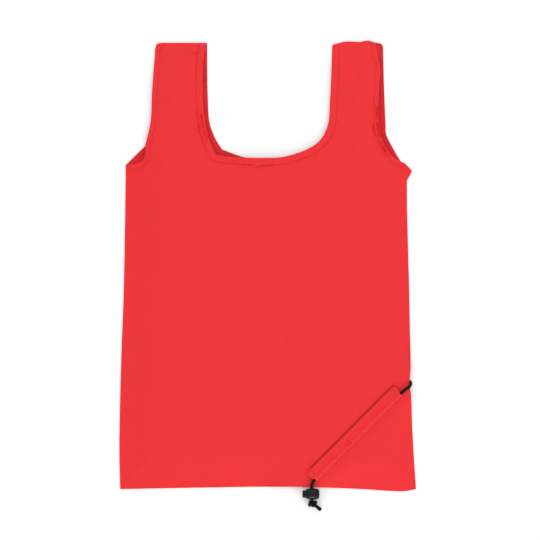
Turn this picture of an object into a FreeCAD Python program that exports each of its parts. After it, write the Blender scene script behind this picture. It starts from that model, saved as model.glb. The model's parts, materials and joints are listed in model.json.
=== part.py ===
"""Foldable tote bag: a vest-shaped shopper lying flat, front face up, with its corner storage pouch's drawcord.

Millimetres. X is to the right, Y towards the handles, Z up from the surface that the bag lies on.
The origin is under the middle of the cloth. The cloth is drawn thicker than it is, as plain solids.
"""
import FreeCAD
import Part
import math
import os

V = FreeCAD.Vector

# cloth
CLOTH = 0.6            # thickness of one cloth layer
SEWN_GAP = 0.3         # between the two layers at a seam
SEAM_WIDTH = 1.5       # bound edge of a seam
SEAM_HEIGHT = 2 * CLOTH + SEWN_GAP
INSIDE_TOP = 7.6       # underside of the front layer where the bag is open
SLOPE_RUN = 34.0       # how far from a seam the front layer reaches that height

SPECK = 0.5            # mm3: a solid smaller than this is left by two outlines that touch

# body outline
BOTTOM_LEFT = (-190.6, -289.2)
BOTTOM_MIDDLE = (58.0, -286.9)
BOTTOM_DIP = (172.0, -291.2)
BOTTOM_RIGHT = (192.3, -288.5)
LEFT_BULGE = (-191.2, -150.0)
RIGHT_BULGE = (185.2, -150.0)
LEFT_TIP = (-184.6, 134.6)
RIGHT_TIP = (184.0, 123.5)

# handles
NECK_CENTRE = (1.5, 191.0)
NECK_RADII = (78.5, 52.1)
LEFT_ARMHOLE_CENTRE = (-190.0, 196.0)
LEFT_ARMHOLE_RADII = (41.0, 62.0)
RIGHT_ARMHOLE_CENTRE = (195.0, 196.0)
RIGHT_ARMHOLE_RADII = (43.5, 75.0)
HANDLE_TOP = 291.2
HANDLE_CORNER = 5.0    # rounding of a handle's outer top corner
LEFT_HANDLE_TOP_X = (-146.0, -78.0)
RIGHT_HANDLE_TOP_X = (81.0, 149.6)

# handle folds
FOLD_Y = 176.0
FOLD_GAP = 0.6
FOLD_AXIS_Z = INSIDE_TOP + CLOTH + 0.2

# cord casings, across the lower right corner at 45 degrees
CASING_START = V(57.6, -274.5, 0)
CASING_LENGTH = 159.0
CASING_WIDTH = 17.8
CASING_HEIGHT = 5.0
CASING_FLANGE = 0.6
ALONG = V(1, 1, 0) / math.sqrt(2)
ACROSS = V(1, -1, 0) / math.sqrt(2)
CREST_HALF = 10.0      # the cloth is level over the casing
RAMP_HALF = 50.0       # and back on the surface this far away
FRONT_CASING_Z = CASING_HEIGHT + SEAM_HEIGHT

# drawcord
CORD = 3.8
CORD_ACROSS = 4.3      # the cord lies in the casing's outer half
TUNNEL = 4.6
FRONT_CORD_Z = FRONT_CASING_Z + CASING_HEIGHT / 2
BACK_CORD_Z = CASING_HEIGHT / 2
CORD_X = 56.8          # where the two strands go through the lock
STRAND_Z = (5.25, 9.15)

# cord lock, its axis along X
LOCK_CENTRE = V(58.5, -296.1, 7.2)
LOCK_RADIUS = 7.15
LOCK_LEFT = 49.9
LOCK_RIGHT = 67.1
LOCK_BORE = 5.0
LOCK_FLOOR = 65.8
LOCK_HOLE = (54.4, 59.2)
LOCK_HOLE_Z = (1.6, 11.6)
PLUNGER_RADIUS = 4.85
PLUNGER_LEFT = 45.2
PLUNGER_RIGHT = 61.5
PLUNGER_HOLE = (51.5, 59.0)
PLUNGER_HOLE_Z = (3.05, 11.35)
POCKET = (60.1, 3.9)   # the spring pocket's floor and its radius
SPRING_RADIUS = 3.2
SPRING_WIRE = 0.6
SPRING_PITCH = 0.52
SPRING_TURNS = 4

# knot
KNOT_CENTRE = V(58.9, -308.4, 4.9)
KNOT_RADII = V(5.6, 4.5, 4.6)

# Route of the drawcord in the bag: out of the front casing, round the side edge and into the back casing.
CORD_ROUTE = [
    V(59.6, -278.6, FRONT_CORD_Z),
    V(174.5, -163.7, FRONT_CORD_Z),
    V(182.5, -157.7, FRONT_CORD_Z),
    V(190.8, -153.3, FRONT_CORD_Z),
    V(189.4, -148.7, BACK_CORD_Z),
    V(181.2, -151.1, BACK_CORD_Z),
    V(174.5, -163.7, BACK_CORD_Z),
    V(59.6, -278.6, BACK_CORD_Z),
]
FRONT_STRAND = [
    V(57.4, -283.9, FRONT_CORD_Z),
    V(CORD_X, -289.0, STRAND_Z[1]),
    V(CORD_X, -296.4, STRAND_Z[1]),
    V(CORD_X + 0.05, -302.4, STRAND_Z[1] - 0.15),
    V(57.6, -306.6, 6.6),
]
BACK_STRAND = [
    V(CORD_X, -287.7, 2.75),
    V(CORD_X, -290.4, STRAND_Z[0]),
    V(CORD_X, -295.6, STRAND_Z[0]),
    V(CORD_X + 0.05, -303.0, STRAND_Z[0] - 0.1),
    V(57.4, -306.4, 4.6),
]
LONG_TAIL = [
    V(61.0, -310.2, 3.4),
    V(64.0, -312.4, 2.1),
    V(68.2, -316.0, 2.0),
]
SHORT_TAIL = [
    V(56.4, -309.0, 3.2),
    V(54.3, -310.8, 2.4),
]


def flat(point, z=0.0):
    return V(point[0], point[1], z)


def polygon(points):
    return Part.Face(Part.makePolygon(points + [points[0]]))


def prism(face, low=-2.0, high=40.0):
    face = face.copy()
    face.translate(V(0, 0, low))
    return face.extrude(V(0, 0, high - low))


def block(x, y, z=(-2.0, 40.0)):
    return Part.makeBox(x[1] - x[0], y[1] - y[0], z[1] - z[0], V(x[0], y[0], z[0]))


def ellipse_point(centre, radii, angle):
    return V(centre[0] + radii[0] * math.cos(angle), centre[1] + radii[1] * math.sin(angle), 0)


def ellipse_edge(centre, radii, start, end):
    """An arc of an ellipse, between two angles."""
    curve = Part.BSplineCurve()
    steps = 12
    curve.interpolate([ellipse_point(centre, radii, start + (end - start) * i / steps) for i in range(steps + 1)])
    return curve.toShape()


def line(a, b):
    return Part.LineSegment(a, b).toShape()


def arc(a, b, c):
    return Part.Arc(a, b, c).toShape()


def handle_side(top_x, root, height):
    """X of a handle's side at a height, on its straight line from root to (top_x, HANDLE_TOP)."""
    return root.x + (top_x - root.x) * (height - root.y) / (HANDLE_TOP - root.y)


def outline(inset):
    """The bag's flat outline, with its sewn edges moved in by inset."""
    up = V(0, inset, 0)
    right = V(inset, 0, 0)
    left_corner = flat(BOTTOM_LEFT) + up + right
    right_corner = flat(BOTTOM_RIGHT) + up - right
    left_angle = -math.acos((LEFT_TIP[0] + inset - LEFT_ARMHOLE_CENTRE[0]) / LEFT_ARMHOLE_RADII[0])
    right_angle = math.pi + math.acos((RIGHT_ARMHOLE_CENTRE[0] - RIGHT_TIP[0] + inset) / RIGHT_ARMHOLE_RADII[0])
    left_tip = ellipse_point(LEFT_ARMHOLE_CENTRE, LEFT_ARMHOLE_RADII, left_angle)
    right_tip = ellipse_point(RIGHT_ARMHOLE_CENTRE, RIGHT_ARMHOLE_RADII, right_angle)
    left_root = ellipse_point(LEFT_ARMHOLE_CENTRE, LEFT_ARMHOLE_RADII, 0)
    right_root = ellipse_point(RIGHT_ARMHOLE_CENTRE, RIGHT_ARMHOLE_RADII, math.pi)
    neck_left = ellipse_point(NECK_CENTRE, NECK_RADII, math.pi)
    neck_right = ellipse_point(NECK_CENTRE, NECK_RADII, 0)
    top = HANDLE_TOP - inset
    bend = HANDLE_CORNER * (1 - math.sqrt(0.5))
    left_out = handle_side(LEFT_HANDLE_TOP_X[0], left_root, top - HANDLE_CORNER)
    left_in = handle_side(LEFT_HANDLE_TOP_X[1], neck_left, top)
    right_in = handle_side(RIGHT_HANDLE_TOP_X[0], neck_right, top)
    right_out = handle_side(RIGHT_HANDLE_TOP_X[1], right_root, top - HANDLE_CORNER)
    edges = [
        arc(left_corner, flat(LEFT_BULGE) + right, left_tip),
        ellipse_edge(LEFT_ARMHOLE_CENTRE, LEFT_ARMHOLE_RADII, left_angle, 0),
        line(left_root, V(left_out, top - HANDLE_CORNER, 0)),
        arc(V(left_out, top - HANDLE_CORNER, 0), V(left_out + bend, top - bend, 0), V(left_out + HANDLE_CORNER, top, 0)),
        line(V(left_out + HANDLE_CORNER, top, 0), V(left_in, top, 0)),
        line(V(left_in, top, 0), neck_left),
        ellipse_edge(NECK_CENTRE, NECK_RADII, math.pi, 2 * math.pi),
        line(neck_right, V(right_in, top, 0)),
        line(V(right_in, top, 0), V(right_out - HANDLE_CORNER, top, 0)),
        arc(
            V(right_out - HANDLE_CORNER, top, 0),
            V(right_out - bend, top - bend, 0),
            V(right_out, top - HANDLE_CORNER, 0),
        ),
        line(V(right_out, top - HANDLE_CORNER, 0), right_root),
        ellipse_edge(RIGHT_ARMHOLE_CENTRE, RIGHT_ARMHOLE_RADII, math.pi, right_angle),
        arc(right_tip, flat(RIGHT_BULGE) - right, right_corner),
        line(right_corner, flat(BOTTOM_DIP) + up),
        line(flat(BOTTOM_DIP) + up, flat(BOTTOM_MIDDLE) + up),
        line(flat(BOTTOM_MIDDLE) + up, left_corner),
    ]
    return Part.Face(Part.Wire(edges))


def profile_prism(origin, inward, points, reach=900.0):
    """A profile of (distance inward, height) points, drawn out both ways along its edge line."""
    sideways = V(-inward.y, inward.x, 0)
    ring = [origin + inward * d + V(0, 0, z) - sideways * reach for d, z in points]
    return polygon(ring).extrude(sideways * 2 * reach)


def ridge(offset):
    """Everything under a cloth that lies on the surface, raised over the back casing, and offset above that."""
    crest = CASING_HEIGHT + offset
    points = [
        (-900, -20),
        (-900, offset),
        (-RAMP_HALF, offset),
        (-CREST_HALF, crest),
        (CREST_HALF, crest),
        (RAMP_HALF, offset),
        (900, offset),
        (900, -20),
    ]
    return profile_prism(CASING_START, ACROSS, points)


def slope(origin, inward, low, high, run):
    """Everything under a cloth that rises from low to high over run, going inward from a line."""
    rise = (high - low) / run
    return profile_prism(origin, inward, [(-60, -20), (-60, low - 60 * rise), (run, high), (900, high), (900, -20)])


def inward_from(a, b):
    """The unit vector to the left of the way from a to b."""
    way = flat(b) - flat(a)
    way.normalize()
    return V(-way.y, way.x, 0)


def inside():
    """The space under the front layer where the bag and its handles stand open."""
    low = CLOTH + SEWN_GAP
    left_start = flat(BOTTOM_LEFT) + V(SEAM_WIDTH, 0, 0)
    left = slope(left_start, inward_from(LEFT_TIP, BOTTOM_LEFT), low, INSIDE_TOP, SLOPE_RUN)
    right_start = flat(BOTTOM_RIGHT) - V(SEAM_WIDTH, 0, 0)
    right = slope(right_start, inward_from(BOTTOM_RIGHT, RIGHT_TIP), low, INSIDE_TOP, SLOPE_RUN)
    bottom = slope(V(0, BOTTOM_MIDDLE[1] + SEAM_WIDTH, 0), V(0, 1, 0), low, INSIDE_TOP, SLOPE_RUN)
    top = slope(V(0, HANDLE_TOP - SEAM_WIDTH, 0), V(0, -1, 0), low, INSIDE_TOP, SLOPE_RUN)
    crest = low + CASING_HEIGHT
    pouch = slope(CASING_START - ACROSS * (CREST_HALF + 2), ACROSS * -1, crest, INSIDE_TOP, SLOPE_RUN)
    space = left.common(right)
    for side in (bottom, top, pouch):
        space = space.common(side)
    return space


def under_front(offset):
    space = inside()
    space.translate(V(0, 0, offset))
    return space.fuse(ridge(CLOTH + SEWN_GAP + offset)).removeSplitter()


def one_solid(shape):
    """The shape's only solid, past specks where two outlines touch."""
    solids = [s for s in shape.Solids if s.Volume > SPECK]
    if len(solids) != 1 or not solids[0].isValid():
        raise ValueError(f"not one clean solid: {[round(s.Volume, 3) for s in shape.Solids]}")
    return solids[0]


def cloth_parts():
    """The panels and the handles' layers, cut from one front cloth and one back cloth at the fold lines."""
    layers = {
        "front": under_front(CLOTH).cut(under_front(0)),
        "back": ridge(CLOTH).cut(ridge(0)),
    }
    shape = prism(outline(SEAM_WIDTH))
    zones = {
        "panel": block((-300, 300), (-400, FOLD_Y - FOLD_GAP / 2)),
        "left_handle": block((-300, 0), (FOLD_Y + FOLD_GAP / 2, 400)),
        "right_handle": block((0, 300), (FOLD_Y + FOLD_GAP / 2, 400)),
    }
    parts = {}
    for side, layer in layers.items():
        cloth = layer.common(shape)
        for zone, space in zones.items():
            name = f"{side}_panel" if zone == "panel" else f"{zone}_{side}"
            parts[name] = one_solid(cloth.common(space).removeSplitter())
    return parts


def seam_parts():
    """The bound edges that join the layers at the sides, the bottom and the handle tops."""
    bound = ridge(SEAM_HEIGHT).cut(ridge(0)).common(prism(outline(0))).cut(prism(outline(SEAM_WIDTH)))
    up = V(0, SEAM_WIDTH, 0)
    bottom_zone = prism(
        polygon(
            [
                V(-300, BOTTOM_LEFT[1], 0) + up,
                flat(BOTTOM_LEFT) + up,
                flat(BOTTOM_MIDDLE) + up,
                flat(BOTTOM_DIP) + up,
                flat(BOTTOM_RIGHT) + up,
                V(300, BOTTOM_RIGHT[1], 0) + up,
                V(300, -400, 0),
                V(-300, -400, 0),
            ]
        )
    )
    sides = bound.cut(bottom_zone)
    middle = 150
    tops = (middle, 400)
    return {
        "bottom_seam": one_solid(bound.common(bottom_zone).removeSplitter()),
        "left_side_seam": one_solid(sides.common(block((-300, 0), (-400, middle)))),
        "right_side_seam": one_solid(sides.common(block((0, 300), (-400, middle)))),
        "left_handle_top_seam": one_solid(sides.common(block((-300, 0), tops))),
        "right_handle_top_seam": one_solid(sides.common(block((0, 300), tops))),
    }


def casing(base, up):
    """A sewn strip with a tunnel for the cord: a flange on the cloth at height base, humped away from it."""
    half = CASING_WIDTH / 2
    hump = CASING_HEIGHT / 2
    strip = polygon(
        [
            CASING_START + ACROSS * d + V(0, 0, base + up * z)
            for d, z in ((-half, 0), (half, 0), (half, CASING_FLANGE), (-half, CASING_FLANGE))
        ]
    ).extrude(ALONG * CASING_LENGTH)
    axis = CASING_START + ACROSS * CORD_ACROSS + V(0, 0, base + up * hump)
    hump_tube = Part.makeCylinder(hump, CASING_LENGTH, axis, ALONG)
    tunnel = Part.makeCylinder(TUNNEL / 2, CASING_LENGTH + 2, axis - ALONG, ALONG)
    return one_solid(strip.fuse(hump_tube).cut(tunnel).removeSplitter())


def cord_wire(points):
    """Straight runs joined by tangent arcs, each as large as its two runs allow. Returns the wire and the radii."""
    edges = []
    radii = []
    last = points[0]
    for before, corner, after in zip(points, points[1:], points[2:]):
        back = before - corner
        ahead = after - corner
        shorter = min(back.Length, ahead.Length)
        back.normalize()
        ahead.normalize()
        half_turn = (math.pi - back.getAngle(ahead)) / 2
        cut = 0.45 * shorter
        radius = cut / math.tan(half_turn)
        middle = back + ahead
        middle.normalize()
        to_middle = math.hypot(cut, radius) - radius
        start = corner + back * cut
        end = corner + ahead * cut
        edges.append(Part.LineSegment(last, start).toShape())
        edges.append(Part.Arc(start, corner + middle * to_middle, end).toShape())
        radii.append(radius)
        last = end
    edges.append(Part.LineSegment(last, points[-1]).toShape())
    return Part.Wire(edges), radii


def cord(name, points):
    """A plain tube of the cord's thickness along a route."""
    wire, radii = cord_wire(points)
    way = points[1] - points[0]
    ring = Part.Wire(Part.Circle(points[0], way, CORD / 2).toShape())
    tube = wire.makePipeShell([ring], True, False)
    ratio = tube.Volume / (math.pi * CORD**2 / 4 * wire.Length)
    print(name, "length", round(wire.Length, 1), "radii", [round(r, 1) for r in radii], "volume ratio", round(ratio, 4))
    return one_solid(tube)


def tail(name, points):
    """A short loose end, with a round tip."""
    tip = Part.makeSphere(CORD / 2, points[-1])
    if len(points) > 2:
        return one_solid(cord(name, points).fuse(tip))
    way = points[1] - points[0]
    return one_solid(Part.makeCylinder(CORD / 2, way.Length, points[0], way).fuse(tip))


def knot():
    ball = Part.makeSphere(1.0)
    stretch = FreeCAD.Matrix()
    stretch.scale(KNOT_RADII.x, KNOT_RADII.y, KNOT_RADII.z)
    ball = ball.transformGeometry(stretch)
    ball.translate(KNOT_CENTRE)
    return one_solid(ball)


def turned(points):
    """A solid turned about the lock's axis from (x, radius) points."""
    ring = [V(x, LOCK_CENTRE.y, LOCK_CENTRE.z + r) for x, r in points]
    axis_point = V(0, LOCK_CENTRE.y, LOCK_CENTRE.z)
    return polygon(ring).revolve(axis_point, V(1, 0, 0), 360)


def lock_hole(x, z):
    reach = 2 * LOCK_RADIUS
    return block(x, (LOCK_CENTRE.y - reach, LOCK_CENTRE.y + reach), z)


def lock_barrel():
    """A barrel-shaped shell, closed on the right, with a hole for both strands."""
    bulge = Part.Arc(
        V(LOCK_LEFT, LOCK_CENTRE.y, LOCK_CENTRE.z + 6.0),
        V(LOCK_CENTRE.x, LOCK_CENTRE.y, LOCK_CENTRE.z + LOCK_RADIUS),
        V(LOCK_RIGHT, LOCK_CENTRE.y, LOCK_CENTRE.z + 5.6),
    ).toShape()
    left = V(LOCK_LEFT, LOCK_CENTRE.y, LOCK_CENTRE.z)
    right = V(LOCK_RIGHT, LOCK_CENTRE.y, LOCK_CENTRE.z)
    face = Part.Face(
        Part.Wire(
            [
                line(left, bulge.Vertexes[0].Point),
                bulge,
                line(bulge.Vertexes[1].Point, right),
                line(right, left),
            ]
        )
    )
    body = face.revolve(left, V(1, 0, 0), 360)
    bore = Part.makeCylinder(LOCK_BORE, LOCK_FLOOR - LOCK_LEFT + 1, left - V(1, 0, 0), V(1, 0, 0))
    return one_solid(body.cut(bore).cut(lock_hole(LOCK_HOLE, LOCK_HOLE_Z)))


def lock_plunger():
    """A round button with a wide cross hole and a pocket for the spring."""
    chamfer = 0.8
    body = turned(
        [
            (PLUNGER_LEFT, 0),
            (PLUNGER_LEFT, PLUNGER_RADIUS - chamfer),
            (PLUNGER_LEFT + chamfer, PLUNGER_RADIUS),
            (PLUNGER_RIGHT, PLUNGER_RADIUS),
            (PLUNGER_RIGHT, 0),
        ]
    )
    floor, radius = POCKET
    pocket = Part.makeCylinder(radius, PLUNGER_RIGHT - floor + 1, V(floor, LOCK_CENTRE.y, LOCK_CENTRE.z), V(1, 0, 0))
    return one_solid(body.cut(lock_hole(PLUNGER_HOLE, PLUNGER_HOLE_Z)).cut(pocket))


def lock_spring():
    """The coil spring on the barrel's floor, closed up as it is when the plunger is pressed home."""
    end = LOCK_FLOOR - SPRING_WIRE / 2
    turns = [
        Part.makeTorus(SPRING_RADIUS, SPRING_WIRE / 2, V(end - i * SPRING_PITCH, LOCK_CENTRE.y, LOCK_CENTRE.z), V(1, 0, 0))
        for i in range(SPRING_TURNS)
    ]
    return one_solid(turns[0].multiFuse(turns[1:]))


def build():
    parts = cloth_parts()
    parts.update(seam_parts())
    parts["cord_casing_front"] = casing(FRONT_CASING_Z, 1)
    parts["cord_casing_back"] = casing(CASING_HEIGHT, -1)
    parts["drawcord"] = cord("drawcord", CORD_ROUTE)
    parts["strand_front"] = cord("strand_front", FRONT_STRAND)
    parts["strand_back"] = cord("strand_back", BACK_STRAND)
    parts["cord_tail_long"] = tail("cord_tail_long", LONG_TAIL)
    parts["cord_tail_short"] = tail("cord_tail_short", SHORT_TAIL)
    parts["cord_knot"] = knot()
    parts["lock_barrel"] = lock_barrel()
    parts["lock_plunger"] = lock_plunger()
    parts["lock_spring"] = lock_spring()
    return parts


os.makedirs("parts", exist_ok=True)
for name, shape in build().items():
    box = shape.BoundBox
    print(name, round(shape.Volume, 1), [round(v, 1) for v in (box.XMin, box.YMin, box.ZMin, box.XMax, box.YMax, box.ZMax)])
    shape.exportStep(f"parts/{name}.step")
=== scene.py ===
"""Looks of the foldable tote bag: two cloth layers with sewn hems, bound seams, casings, drawcord and lock.

Everything is worked out in millimetres in the part's frame and turned into metres where an object is made.
X is to the right, Y towards the handles, Z up from the surface that the bag lies on.
"""

import json
import math

import bpy
import numpy as np
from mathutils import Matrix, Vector, noise
from mathutils.geometry import delaunay_2d_cdt


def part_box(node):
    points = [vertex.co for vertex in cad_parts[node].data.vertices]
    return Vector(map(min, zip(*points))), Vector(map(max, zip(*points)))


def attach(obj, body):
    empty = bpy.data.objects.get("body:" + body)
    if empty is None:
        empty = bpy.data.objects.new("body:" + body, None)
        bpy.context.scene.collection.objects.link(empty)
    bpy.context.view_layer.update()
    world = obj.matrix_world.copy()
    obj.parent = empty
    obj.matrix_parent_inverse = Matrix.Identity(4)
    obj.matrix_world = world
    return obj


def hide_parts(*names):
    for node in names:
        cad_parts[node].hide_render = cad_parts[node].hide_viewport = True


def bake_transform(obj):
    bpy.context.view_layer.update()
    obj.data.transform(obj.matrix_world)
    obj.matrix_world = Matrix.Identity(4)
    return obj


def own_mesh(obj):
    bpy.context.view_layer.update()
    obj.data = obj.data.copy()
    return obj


MM = 0.001
ROOT_HALF = math.sqrt(0.5)

# camera
CAMERA_X = 3.2
CAMERA_Y = -6.2
CAMERA_HEIGHT = 3000.0
CAMERA_LENS = 154.2
CAMERA_SENSOR = 36.0

# stage
WORLD_STRENGTH = 0.68
LIGHTS = [               # name, place and size in metres, watts
    ("overhead", (0.0, 0.3, 2.2), (1.8, 1.8), 10),
    ("box_near", (0.05, -1.9, 0.62), (0.5, 0.16), 10),
    ("box_far", (0.05, 1.9, 0.62), (0.5, 0.16), 9),
    ("box_corner", (1.3, -1.3, 1.1), (0.3, 0.3), 6),
]
FLOOR_HALF = 6000.0
FLOOR_Z = -0.05
FLOOR_GLOW = 0.07        # the bag lies on a light table, so that it casts hardly any shadow

# cloth
THICKNESS = 0.45
BACK_Z = 0.6             # middle of the back layer
BACK_LIFT = 0.02         # so that its stitches clear the surface
BACK_HEM_SHARE = 0.6     # how much of the hems' relief it has
SEWN_Z = 1.35            # middle of the front layer at a seam
OPEN_Z = 6.2             # and where the bag stands open
OPEN_RUN = 46.0          # how far from a seam it gets there
HEM_DROOP = 1.6          # the front layer's free edges hang a little lower
HEM_DROOP_RUN = 26.0
WAVES = [(85, 0.8, 0), (31, 0.4, 4), (12, 0.12, 8)]  # size, height and noise slice of its soft waves
EDGE_WAVE = (15, 0.5, 2)                             # and of those along the seams
EDGE_WAVE_START = 3.0    # which grow so far from the seam
EDGE_WAVE_RUN = 16.0     # and die out over this
CALM_RUN = 2.5           # creases end so close to a seam
CALM_SHARE = 0.35        # and a hem's relief is down to this share there
WEAVE_PITCH = 0.5        # between threads of the plain weave

# hems
NECK_HEM = 10.5          # widths
HANDLE_HEM = 7.4
HEM_RISE = 0.42          # their doubled cloth
HEM_REACH = 16.0         # a hem's relief ends so far past its inner edge
GROOVE_DEPTH = 0.85      # where it is stitched
GROOVE_HALF = 0.9
PUCKER_HEIGHT = 1.35     # puckers along the stitches
PUCKER_SIZE = 5.2
PUCKER_REACH = 5.0
ROLL_DEPTH = 0.55        # its outer edge rolls down
ROLL_HALF = 1.3

# stitches
STITCH_INSET = 1.2       # from a hem's inner edge
STITCH_PITCH = 3.2
STITCH_LENGTH = 2.4
STITCH_RADIUS = 0.24
STITCH_OUT = 0.08        # a stitch's middle above the cloth
HALF_STITCH = [(0.15, 1.0, 0.35), (0.38, 0.8, -0.25), (0.5, 0.25, -0.9)]  # share along, thickness, rise
STITCH_SHAPE = [(-along, size, rise) for along, size, rise in reversed(HALF_STITCH)] + HALF_STITCH
FIRST_STITCH_X = -183.0  # those of the hems stay inside these
LAST_STITCH_X = 184.5
TOP_STITCH_Y = 286.0

# the cloth's mesh
EDGE_STEP = 2.1          # spacing of its points along its edges
GRID_STEP = 3.9          # inside
FOLD_STEP = 2.8          # and along the handles' folds
ROWS_BY_EDGE = [0.8, 2.0, 3.8, 5.6]                                    # rows of points beside a hem's edge
ROWS_BY_STITCHES = [-1.9, -1.0, -0.35, 0.35, 1.0, 1.5, 2.2, 3.6, 5.6]  # its stitches
ROWS_BY_SEAM = [1.3, 3.0]                                              # and a sewn edge
ROWS_END = 6.5           # past a hem's inner edge, where the grid takes over
EDGE_CLEARANCE = 0.55    # no point inside is closer to the edge
CELL = 0.9               # size of the cells that close points are looked for in
TOO_CLOSE = 0.5
NORMAL_STEP = 0.35       # half the width that a slope is measured over

# bound seams
BEAD_WIDTH = 0.85
BEAD_HEIGHT = 0.62
BEAD_SIDES = 10
BEAD_STEP = 0.8
BEAD_WAVE = 2.4          # length of the waves that its thread makes

# casings
CASING_WIDTH = 17.8
CASING_WALL = 0.4
CASING_PAST = 1.9        # the lower end reaches a little past the strip's
CASING_PAST_RUN = 20.0
CASING_HEM = 7.0
CASING_RISE = 5.0        # how high the panels lie over the back casing
CREST_HALF = 9.0         # half the width of that ridge's top
RAMP_HALF = 46.0         # and of its foot
CORD_ACROSS = 4.3        # the cord's place, from the strip's middle line
CASING_GAP = 0.12        # between the cord and the cloth over it
SEAM_ACROSS = 8.2        # the row of stitches along the outer edge
SEWN_FLARE = 1.5         # that edge spreads at the upper end
FLARE_RUN = 14.0
MOUTH_CUT = 2.4          # the ends are cut back so far over the cord
MOUTH_HALF = 2.6
MOUTH_RUN = 5.0
SECTION_MIDDLE = (1.0, 2.3)  # a point inside the section, across and up
CASING_STEP = 0.8
TOP_POINTS = 34          # across the casing, over its top
# A dark strip of cloth colour, painted as the shadow that the front casing's free fold casts
SHADOW_STRIP_START = 6.0    # a strip of painted shadow beside the front one's free fold shows from here
SHADOW_STRIP_PAST = 1.1     # to so far past its upper end
SHADOW_STRIP_OUT = 1.6      # and so far out
SHADOW_STRIP_WIDTH = 4.0
SHADOW_STRIP_Z = (0.05, 0.33)
SHADOW_STRIP_SINK = 0.06
SHADOW_STRIP_STEP = 1.5

# cord
CORD = 3.8
CORD_SIDES = 32
PLAIT_LENGTH = 5.2       # of one turn of its braid
PLAIT_RELIEF = 0.11

# lock, its axis along X
LOCK_HOLE = (54.4, 59.2)
LOCK_HOLE_Z = (1.6, 11.6)
PLUNGER_HOLE = (51.5, 59.0)
PLUNGER_HOLE_Z = (3.05, 11.35)
LOCK_FLOOR = 65.8
LOCK_BORE = 5.0
SPRING_SEAT = 60.1
SPRING_RADIUS = 3.2
SPRING_WIRE = 0.6
SPRING_TURNS = 5
COLLAR_WIRE = 0.5        # half the width of the lips round the lock's holes
WAIST = 0.16             # how much slimmer the barrel's ends are than its middle
MOUTH_FILLET = 1.1       # the barrel's edge beside the button
END_FILLET = 3.0         # and at its closed end
BUTTON_FILLET = 1.3
GRIP_GROOVES = (2.1, 3.1)

# Corners and turning points of the two layers' edges. The sewn edges are the same in both.
LEFT_SIDE = [(-190.9, -290.2), (-191.9, -235), (-189.3, -115), (-186.6, -45), (-184.2, 80), (-183.7, 129.8)]
RIGHT_SIDE = [(180.6, 110), (180.9, 70), (183.8, -45), (185.2, -135)]
CORD_NOTCH = [(185.2, -135), (184.5, -142), (183.4, -152.0), (184.6, -161), (185.8, -169)]
RIGHT_SIDE_LOW = [(185.8, -169), (189.0, -239), (192.4, -290.0)]
RIGHT_TIP = [(177.5, 132.6), (186.0, 123.8), (187.0, 121.4), (185.6, 118.6), (180.6, 110)]
BOTTOM = [(192.4, -290.0), (178, -292.8), (122, -290.2), (44, -286.9), (-60, -287.8), (-190.9, -290.2)]
LEFT_TOP = [(-138.5, 288.2), (-79.0, 288.2)]
LEFT_TOP_CORNER = [(-145.4, 281), (-143.6, 286.4), (-138.5, 288.2)]
FRONT_RIGHT_TOP = [(84, 285.5), (101, 289.8), (121, 289.5), (129, 291.2), (140.5, 288.3)]
BACK_RIGHT_TOP = [(140.5, 288.3), (147.5, 286.8), (149.8, 282.5)]
FRONT_LEFT_ARMHOLE = [(-183.7, 129.8), (-173, 131.0), (-162.5, 135.5), (-159, 142), (-158.3, 155)]
BACK_LEFT_ARMHOLE = [(-183.7, 129.8), (-171.5, 142), (-158.3, 155)]
LEFT_OUTER = [(-158.3, 155), (-151.3, 187), (-149.4, 225), (-145.4, 281)]
FRONT_LEFT_INNER = [(-79, 288.2), (-83, 265), (-82.6, 200), (-77, 167), (-66.8, 143.5)]
BACK_LEFT_INNER = [(-78.4, 288.2), (-77.4, 215), (-75, 184), (-66, 161), (-58.8, 150)]
FRONT_NECK_LOW = [(-66.8, 143.5), (-56, 141.5), (-10, 139), (26, 141.5)]
FRONT_NECK = FRONT_NECK_LOW + [(64, 158), (77.6, 180), (81, 215), (84, 285.5)]
BACK_NECK_LOW = [(-58.8, 150), (-30, 140), (0, 137.6), (27, 139.6)]
BACK_NECK = BACK_NECK_LOW + [(65.5, 156.6), (79.2, 180), (82.4, 215), (84, 285.5)]
RIGHT_OUTER_TOP = [(140.5, 288.3), (142.3, 275), (145.7, 260)]
FRONT_RIGHT_OUTER = RIGHT_OUTER_TOP + [(143.8, 190), (149.5, 160), (160, 143), (173, 134)]
BACK_RIGHT_OUTER = [(149.8, 282.5), (150.8, 240), (153, 183), (153.8, 170), (163, 151), (173, 134)]
RIGHT_HEM_END = [(173, 134), RIGHT_TIP[0]]

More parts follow.
